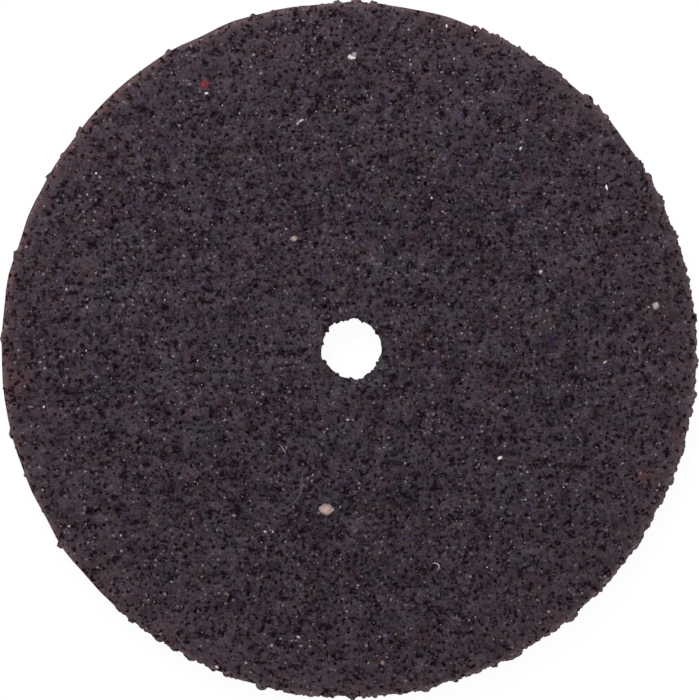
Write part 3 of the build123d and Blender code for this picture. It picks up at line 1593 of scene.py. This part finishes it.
@dataclass(frozen=True)
class BondFinish:
    """The dark bond and the grains that it coats.

    Attributes:
        plum, slate, violet, umber: The hues of the bond.
        lighter: What one step of lightness adds to a colour.
        hollow_black_and_shade: The colour of crevices and of pits too small to be cut: painted shade, and in
            the pits also their own near-black.
        pore_black_and_shade: The colour of the pores that are cut: their near-black, deepened with painted
            shade.
        glint_cool, glint_warm: The colours of painted glints, small bright specks that stand in for light
            caught by bare grain.
        rim_pale: What the face tends to near the rim.
        edge_highlight: The colour of the rim's grit at its edge: paler bare grit, lightened further with a
            painted highlight.
        resin: The colour of the rim's corner where it is rich in resin.
        rust: The colour of the stains.
        slate_patches, umber_patches, violet_patches, rust_patches: Where these colours lie.
        broad, middling, fine, grainy: What makes the bond lighter and darker.
        resin_patches: Where the resin is whole.
        dimples: Shallow hollows between grains, darkened with painted shade.
        pit_patches: What frays the large pits.
        warm_glint_patches: Where the painted glints are warm.
        small_pits, large_pits: Pits too small to be cut, drawn with painted shade.
        dull_glints, bright_glints: Painted glints, dull and bright.
        rust_ring: How wide the ring with random stains is at the face's edge.
        rust_share, outer_share, rim_share, resin_share: How much of a colour shows at most.
        outer_start: Where the outer part begins, as a share of the face's radius.
        rim_ring: Where the rim's colour begins inside the face's edge, and is full outside the wall.
        edge_ring: Where the painted edge highlight begins inside the wall, and is full outside it.
        corner_ring: Where the resin begins inside the face's edge, and is full outside it.
        edge_share: How much of the painted edge highlight shows at the lower end of the rim.
        upper_loss, resin_loss: How much less of it shows at the upper end and on the resin's side.
        resin_heading: The direction of that side, in degrees from +X.
        resin_step: How far out in that direction the side begins and is full, in millimetres.
        crevice_share: How much painted shade a crevice gets beside a pit.
        hollow_share: How rough a small hollow is beside a pore that is cut.
        roughness, dark_roughness: The roughness of the bond, and what a pore adds to it.
        relief: The height of the bumps in millimetres.
        relief_shares: The shares of the fine and the grainy blotches and of the hollows in it.
        specular: The shader's specular level.
    """

    plum: Colour = srgb(58, 46, 52)
    slate: Colour = srgb(51, 46, 52)
    violet: Colour = srgb(55, 45, 60)
    umber: Colour = srgb(60, 46, 45)
    lighter: tuple[float, float, float] = (0.0405, 0.0345, 0.0413)
    hollow_black_and_shade: Colour = srgb(19, 8, 14)
    pore_black_and_shade: Colour = srgb(33, 21, 28)
    glint_cool: Colour = srgb(146, 144, 163)
    glint_warm: Colour = srgb(164, 148, 148)
    rim_pale: Colour = srgb(78, 62, 67)
    edge_highlight: Colour = srgb(124, 105, 111)
    resin: Colour = srgb(88, 65, 60)
    rust: Colour = srgb(84, 52, 50)

    slate_patches: Blotches = Blotches(0.50, 2.0, 0.5, shift=3.0, start=0.40, full=0.60)
    umber_patches: Blotches = Blotches(0.80, 2.0, 0.5, shift=9.0, start=0.60, full=0.78, weight=0.6)
    violet_patches: Blotches = Blotches(0.32, 2.0, 0.5, shift=15.0, start=0.50, full=0.68, weight=0.8)
    rust_patches: Blotches = Blotches(0.40, 2.0, 0.5, shift=19.0, start=0.56, full=0.68)
    broad: Blotches = Blotches(4.0, 1.0, 0.5, shift=21.0, weight=0.4)
    middling: Blotches = Blotches(0.9, 2.0, 0.5, shift=33.0, weight=1.2)
    fine: Blotches = Blotches(0.20, 3.0, 0.7, shift=45.0, weight=2.6)
    grainy: Blotches = Blotches(0.09, 1.0, 0.5, shift=57.0, weight=1.6)
    resin_patches: Blotches = Blotches(0.35, 2.0, 0.6, shift=63.0, start=0.36, full=0.60)
    dimples: Blotches = Blotches(0.15, 1.0, 0.5, shift=71.0, start=0.46, full=0.30)
    pit_patches: Blotches = Blotches(0.11, 1.0, 0.5, shift=77.0, start=0.34, full=0.60)
    warm_glint_patches: Blotches = Blotches(0.28, 1.0, 0.5, shift=87.0, start=0.36, full=0.64)
    small_pits: Dots = Dots(spacing=0.23, radius=0.12, share=0.32)
    large_pits: Dots = Dots(spacing=0.42, radius=0.24, share=0.90, unevenness=1.2, weight=1.8)
    dull_glints: Dots = Dots(spacing=0.20, radius=0.06, share=1.0, unevenness=2.0, weight=0.55)
    bright_glints: Dots = Dots(spacing=0.30, radius=0.06, share=0.7, unevenness=3.0)

    rust_ring: float = 0.5
    rust_share: float = 0.5
    outer_share: float = 0.15
    outer_start: float = 0.7
    rim_share: float = 0.25
    rim_ring: tuple[float, float] = (0.6, 0.05)
    resin_share: float = 0.7
    corner_ring: tuple[float, float] = (0.06, 0.04)
    edge_share: float = 0.66
    edge_ring: tuple[float, float] = (0.17, 0.06)
    upper_loss: float = 0.40
    resin_loss: float = 0.3
    resin_heading: float = 172.0
    resin_step: tuple[float, float] = (2.5, 6.5)
    crevice_share: float = 0.3
    hollow_share: float = 0.5
    roughness: float = 0.6
    dark_roughness: float = 0.3
    relief: float = 0.03
    relief_shares: tuple[float, float, float] = (0.6, 0.3, 0.5)
    specular: float = 0.05

    def rim_place(self, finish: Finish, places: Socket, sizes: WheelSizes) -> RimPlace:
        """Works out how a place lies to the rim.

        Args:
            finish: The finish that is made.
            places: The coordinates in millimetres.
            sizes: The wheel's sizes.

        Returns:
            The distance and the sides.
        """
        offset = finish.vector("SUBTRACT", places, tuple(sizes.rim_centre))
        level = finish.vector("MULTIPLY", offset, (1.0, 1.0, 0.0))
        heading = tuple(around(1.0, math.radians(self.resin_heading)))
        parts = finish.node("ShaderNodeSeparateXYZ", Vector=level)
        return RimPlace(
            radius=finish.measure("LENGTH", level),
            resin_side=finish.measure("DOT_PRODUCT", level, heading).between(*self.resin_step),
            upper_side=finish.value(parts.outputs["Y"]).between(-sizes.wall_radius, sizes.wall_radius),
        )

    def hue(self, finish: Finish, places: Socket) -> Socket:
        """Makes the bond's hue, which is plum, with patches of slate and violet and a few of umber.

        Args:
            finish: The finish that is made.
            places: The coordinates in millimetres.

        Returns:
            The hue.
        """
        colour = self.plum
        patches = (
            (self.slate_patches, self.slate),
            (self.violet_patches, self.violet),
            (self.umber_patches, self.umber),
        )
        for kind, hue in patches:
            colour = finish.mix(finish.patches(places, kind) * kind.weight, colour, hue)
        return colour

    def stains(
        self, finish: Finish, places: Socket, sizes: WheelSizes, scale: PhotoScale, radius: Value
    ) -> Value:
        """How strong the stains are, from 0 to 1.

        Args:
            finish: The finish that is made.
            places: The coordinates in millimetres.
            sizes: The wheel's sizes.
            scale: Where the wheel lies in the photograph.
            radius: A place's distance from the rim's centre.

        Returns:
            The strength of the stains that are seen, and of small random ones by the face's edge.
        """
        near_face_edge = radius.between(sizes.face_radius - self.rust_ring, sizes.face_radius)
        total = finish.patches(places, self.rust_patches) * near_face_edge
        ragged = finish.stirred(places, width=0.35, amount=0.2)
        for stain in SEEN_STAINS:
            middle = scale.place(sizes, stain.x, stain.y) - Vector((0.0, 0.0, stain.depth))
            away = finish.measure("DISTANCE", ragged, tuple(middle))
            total = total.math("MAXIMUM", away.between(stain.radius, stain.full_part * stain.radius))
        return total

    def towards_rim(
        self, finish: Finish, places: Socket, colour: Socket, sizes: WheelSizes, rim: RimPlace
    ) -> Socket:
        """Makes the colour paler and browner towards the rim, with a painted highlight at the rim's edge, and
        rich in resin on one side of it.

        Args:
            finish: The finish that is made.
            places: The coordinates in millimetres.
            colour: The colour so far.
            sizes: The wheel's sizes.
            rim: How a place lies to the rim.

        Returns:
            The new colour.
        """
        outer_part = rim.radius.between(self.outer_start * sizes.face_radius, sizes.wall_radius)
        start, full = self.rim_ring
        near_rim = rim.radius.between(sizes.face_radius - start, sizes.wall_radius + full)
        colour = finish.mix(outer_part * self.outer_share + near_rim * self.rim_share, colour, self.rim_pale)
        # Painted highlight on the rim's edge, weaker at the upper end and on the resin's side.
        start, full = self.edge_ring
        at_edge = rim.radius.between(sizes.wall_radius - start, sizes.wall_radius + full)
        bare = (self.edge_share - rim.upper_side * self.upper_loss) * (1 - rim.resin_side * self.resin_loss)
        colour = finish.mix(at_edge * bare, colour, self.edge_highlight)
        start, full = self.corner_ring
        at_corner = rim.radius.between(sizes.face_radius - start, sizes.face_radius + full)
        whole = finish.patches(places, self.resin_patches)
        return finish.mix(rim.resin_side * at_corner * whole * self.resin_share, colour, self.resin)

    def hollows(self, finish: Finish, places: Socket) -> Value:
        """Draws the crevices, and the pits that are too small to be cut, which the bond darkens with painted
        shade.

        Args:
            finish: The finish that is made.
            places: The coordinates in millimetres.

        Returns:
            How deep a place lies in them, from 0 to 1.
        """
        stirred = finish.stirred(places, width=0.12, amount=0.05)
        crevice = finish.crevices(stirred, spacing=0.24, start=0.70, deepest=0.95) * self.crevice_share
        dimple = finish.patches(places, self.dimples)
        small_pit = finish.dots(stirred, self.small_pits)
        frayed = finish.patches(places, self.pit_patches)
        large_pit = finish.dots(finish.stirred(places, width=0.16, amount=0.11), self.large_pits)
        large_pit = large_pit * frayed * self.large_pits.weight
        pit = small_pit.math("MAXIMUM", large_pit).math("MINIMUM", 1.0)
        return crevice.math("MAXIMUM", dimple).math("MAXIMUM", pit)

    def painted_glints(self, finish: Finish, places: Socket) -> Value:
        """How much painted glint shows, from 0 to 1."""
        drawn_out = finish.stirred(places, width=0.10, amount=0.05)
        dull = finish.dots(drawn_out, self.dull_glints) * self.dull_glints.weight
        return dull.math("MAXIMUM", finish.dots(drawn_out, self.bright_glints))

    def material(self, sizes: WheelSizes, scale: PhotoScale, with_pores: bool) -> bpy.types.Material:
        """Makes the finish.

        Args:
            sizes: The wheel's sizes.
            scale: Where the wheel lies in the photograph.
            with_pores: Whether the piece holds the number that says how much painted shade a vertex in a pore
                gets.

        Returns:
            The material.
        """
        finish = Finish("bond_with_pores" if with_pores else "bond", self.specular)
        places = finish.places()
        rim = self.rim_place(finish, places, sizes)

        kinds = (self.broad, self.middling, self.fine, self.grainy)
        blotches = {kind: finish.noise(places, kind) for kind in kinds}
        lightness = sum((blotch - 0.5) * kind.weight for kind, blotch in blotches.items())
        colour = finish.lifted(self.hue(finish, places), self.lighter, lightness)
        stain = self.stains(finish, places, sizes, scale, rim.radius)
        colour = finish.mix(stain * self.rust_share, colour, self.rust)
        colour = self.towards_rim(finish, places, colour, sizes, rim)

        hollow = self.hollows(finish, places)
        # Painted shade in the crevices, dimples and small pits, with the pits' own near-black.
        colour = finish.mix(hollow, colour, self.hollow_black_and_shade)
        # Painted glints: bright specks that stand in for light caught by the grain.
        glint_colour = finish.mix(finish.patches(places, self.warm_glint_patches), self.glint_cool, self.glint_warm)
        colour = finish.mix(self.painted_glints(finish, places), colour, glint_colour)
        dark = hollow * self.hollow_share
        if with_pores:
            # Painted shade on the floors of the cut pores, with their own near-black.
            sunk = finish.attribute("pore")
            colour = finish.mix(sunk, colour, self.pore_black_and_shade)
            dark = dark.math("MAXIMUM", sunk)

        fine_share, grainy_share, hollow_share = self.relief_shares
        height = blotches[self.fine] * fine_share + blotches[self.grainy] * grainy_share
        height = height - hollow * hollow_share
        bump = finish.node("ShaderNodeBump", Strength=1.0, Distance=self.relief * MM, Height=height)
        return finish.dress(colour, self.roughness + dark * self.dark_roughness, bump.outputs["Normal"])


@dataclass(frozen=True)
class GrainFinish:
    """Clean grains of one kind, from dim to bright.

    Attributes:
        name: The material's name.
        dim, bright: The colours of the dimmest and the brightest of them.
        roughness, specular: The shader's roughness and specular level.
        clouds: What makes one grain uneven.
        darkest: The share of its colour that an uneven grain keeps where it is darkest.
    """

    name: str
    dim: Colour
    bright: Colour
    roughness: float
    specular: float
    clouds: Blotches = Blotches(0.09, 2.0, 0.6, shift=5.0, start=0.30, full=0.70, weight=0.8)
    darkest: float = 0.6

    def material(self) -> bpy.types.Material:
        """Makes the finish."""
        finish = Finish(self.name, self.specular)
        shade = finish.attribute("shade").between(0.0, 1.0)
        cloud = finish.patches(finish.places(), self.clouds)
        colour = finish.mix(shade, self.dim, self.bright)
        colour = finish.scaled(colour, self.darkest + cloud * self.clouds.weight)
        return finish.dress(colour, self.roughness)


# Painted glints: the crystals' colours, from dim to bright, stand in for the sparkle of light on their
# facets.
GLINT = GrainFinish("glint", srgb(62, 56, 64), srgb(166, 160, 170), 0.4, 0.2)
ODD_FINISHES = {
    GrainColour.TAN: GrainFinish("tan_grain", srgb(104, 82, 76), srgb(206, 184, 176), 0.5, 0.2),
    GrainColour.PALE: GrainFinish("pale_grain", srgb(110, 98, 99), srgb(200, 187, 183), 0.5, 0.2),
    # White grains: their bright end is partly a painted glint.
    GrainColour.WHITE: GrainFinish("white_grain", srgb(106, 98, 106), srgb(214, 205, 212), 0.5, 0.2),
    GrainColour.RED: GrainFinish("red_grain", srgb(84, 34, 36), srgb(124, 54, 56), 0.6, 0.05),
    GrainColour.BROWN: GrainFinish("brown_grain", srgb(74, 60, 58), srgb(98, 82, 82), 0.6, 0.1),
}
FIBRE = GrainFinish("fibre", srgb(96, 90, 95), srgb(176, 168, 174), 0.6, 0.2)


# Studio


@dataclass(frozen=True)
class Studio:
    """A white floor, plain soft light, and a camera straight above the wheel.

    Attributes:
        scale: Where the wheel lies in the photograph.
        sizes: The wheel's sizes.
        floor_width: The floor's width in metres.
        floor_gap: How far it lies below the wheel, in millimetres.
        paper: The floor's colour and, as the last number, its alpha.
        paper_roughness: Its roughness.
        glow: How bright it looks to the camera.
        glow_share: How much of what the camera sees of it is glow. The rest shows the wheel's shadow.
        sensor, lens: The camera's sensor and lens in millimetres.
        clip: The nearest and the farthest distance that the camera sees, in metres.
        sky: The strength of the light from all round.
        lamp_power: The lamp's power in watts.
        lamp_width, lamp_place: Its width and its place in metres.
    """

    scale: PhotoScale
    sizes: WheelSizes
    floor_width: float = 2.0
    floor_gap: float = 0.02
    paper: Colour = (0.9, 0.9, 0.9, 1.0)
    paper_roughness: float = 0.9
    glow: float = 1.03
    glow_share: float = 0.92
    sensor: float = 36.0
    lens: float = 300.0
    clip: tuple[float, float] = (0.005, 20.0)
    sky: float = 0.62
    lamp_power: float = 0.075
    lamp_width: float = 0.045
    lamp_place: tuple[float, float, float] = (-0.024, 0.058, 0.070)

    def floor(self) -> bpy.types.Object:
        """Lays the floor, which looks white to the camera and still takes the wheel's shadow.

        It lies a hair below the wheel, so that the two don't share a plane.
        """
        shape = bmesh.new()
        bmesh.ops.create_grid(shape, x_segments=1, y_segments=1, size=self.floor_width / 2)
        mesh = bpy.data.meshes.new("floor")
        shape.to_mesh(mesh)
        shape.free()
        floor = bpy.data.objects.new("floor", mesh)
        floor.location.z = -self.floor_gap * MM
        bpy.context.scene.collection.objects.link(floor)
        finish = Finish("floor_paper", 0.0)
        finish.dress(self.paper, self.paper_roughness)
        glow = finish.node("ShaderNodeEmission", Color=WHITE_LIGHT, Strength=self.glow)
        ray = finish.node("ShaderNodeLightPath")
        seen = finish.value(ray.outputs["Is Camera Ray"])
        seen = seen.math("MAXIMUM", finish.value(ray.outputs["Is Glossy Ray"]))
        seen = seen.math("MAXIMUM", finish.value(ray.outputs["Is Transmission Ray"]))
        blend = finish.node("ShaderNodeMixShader", Fac=seen * self.glow_share)
        finish.tree.links.new(finish.shader.outputs[0], blend.inputs[1])
        finish.tree.links.new(glow.outputs[0], blend.inputs[2])
        finish.tree.links.new(blend.outputs[0], finish.tree.nodes["Material Output"].inputs["Surface"])
        mesh.materials.append(finish.material)
        return floor

    def light(self) -> None:
        """Sets the sky and one large lamp above and behind the wheel."""
        world = bpy.data.worlds.new("studio")
        bpy.context.scene.world = world
        world.use_nodes = True
        tree = world.node_tree
        background = tree.nodes["Background"]
        ray = tree.nodes.new("ShaderNodeLightPath")
        seen = Value(tree, ray.outputs["Is Camera Ray"])
        strength = seen * (1 - self.sky) + self.sky
        background.inputs["Color"].default_value = WHITE_LIGHT
        tree.links.new(strength.socket, background.inputs["Strength"])
        lamp = bpy.data.lights.new("soft_lamp", "AREA")
        lamp.shape = "DISK"
        lamp.size = self.lamp_width
        lamp.energy = self.lamp_power
        holder = bpy.data.objects.new("soft_lamp", lamp)
        holder.location = self.lamp_place
        holder.rotation_euler = (-Vector(self.lamp_place)).to_track_quat("-Z", "Y").to_euler()
        holder.visible_camera = False
        bpy.context.scene.collection.objects.link(holder)

    def camera(self) -> None:
        """Points the camera straight down, so that the wheel fills the frame as in the photograph."""
        data = bpy.data.cameras.new("camera")
        data.sensor_width = self.sensor
        data.lens = self.lens
        data.clip_start, data.clip_end = self.clip
        holder = bpy.data.objects.new("camera", data)
        across = self.scale.height / self.scale.pixels_per_mm
        distance = across * self.lens / self.sensor
        right = (self.scale.width / 2 - self.scale.rim_x - self.scale.half_pixel) / self.scale.pixels_per_mm
        up = (self.scale.rim_y + self.scale.half_pixel - self.scale.height / 2) / self.scale.pixels_per_mm
        aim = self.sizes.rim_centre + Vector((right, up, self.sizes.top + distance))
        holder.location = aim * MM
        bpy.context.scene.collection.objects.link(holder)
        bpy.context.scene.camera = holder
        bpy.context.scene.view_settings.view_transform = "Standard"


def main() -> None:
    """Builds the wheel piece by piece, then the studio round it."""
    logging.basicConfig(level=logging.INFO, format="%(name)s: %(message)s")
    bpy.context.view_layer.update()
    node = frame["nodes"][NODE]
    bore = next(mount for mount in frame["record"]["mounts"] if mount["name"] == "bore")
    sizes = WheelSizes.of_node(node, bore["dims"]["r_mm"])
    log.info("sizes: %s", sizes)
    scale = PhotoScale()

    upper = Side("upper", sizes.top, -1.0, PoreField(sizes, seed=71))
    lower = Side("lower", sizes.bottom, 1.0, PoreField(sizes, seed=72))
    odd = OddGrains(sizes, scale)
    seated = odd.seats(upper, odd.upper_places()) + odd.seats(lower, odd.lower)
    upper.pores.scatter()
    lower.pores.scatter()
    log.info("pores: %d above, %d below", len(upper.pores.pores), len(lower.pores.pores))

    bond = BondFinish()
    waves = (2, 3, 5, 8, 12, 17, 23, 31, 38)
    rim_swell = Swell(mean=0.035, height=0.010, counts=waves, seed=81, lean=0.034, heading=148)
    chips = Swell(mean=0.0, height=0.018, counts=(41, 53, 67, 79, 91, 103, 118, 134), seed=82)
    bore_swell = Swell(mean=-0.004, height=0.012, counts=(2, 3, 4, 5, 6, 7, 9), seed=83)
    body = PressedBody(sizes, (upper, lower), rim_swell, bore_swell)
    body.build(node, bond.material(sizes, scale, with_pores=True))
    plain_bond = bond.material(sizes, scale, with_pores=False)
    RimGrit(sizes, rim_swell, chips).build(plain_bond)
    BoreGrit(sizes, bore_swell).build(plain_bond)
    Glints((upper, lower)).build(GLINT.material())
    for colour in GrainColour:
        odd.build(colour, seated, ODD_FINISHES[colour].material())
    Fibres(sizes, scale).build(FIBRE.material())

    studio = Studio(scale, sizes)
    studio.floor()
    studio.light()
    studio.camera()


if __name__ == "__main__":
    main()
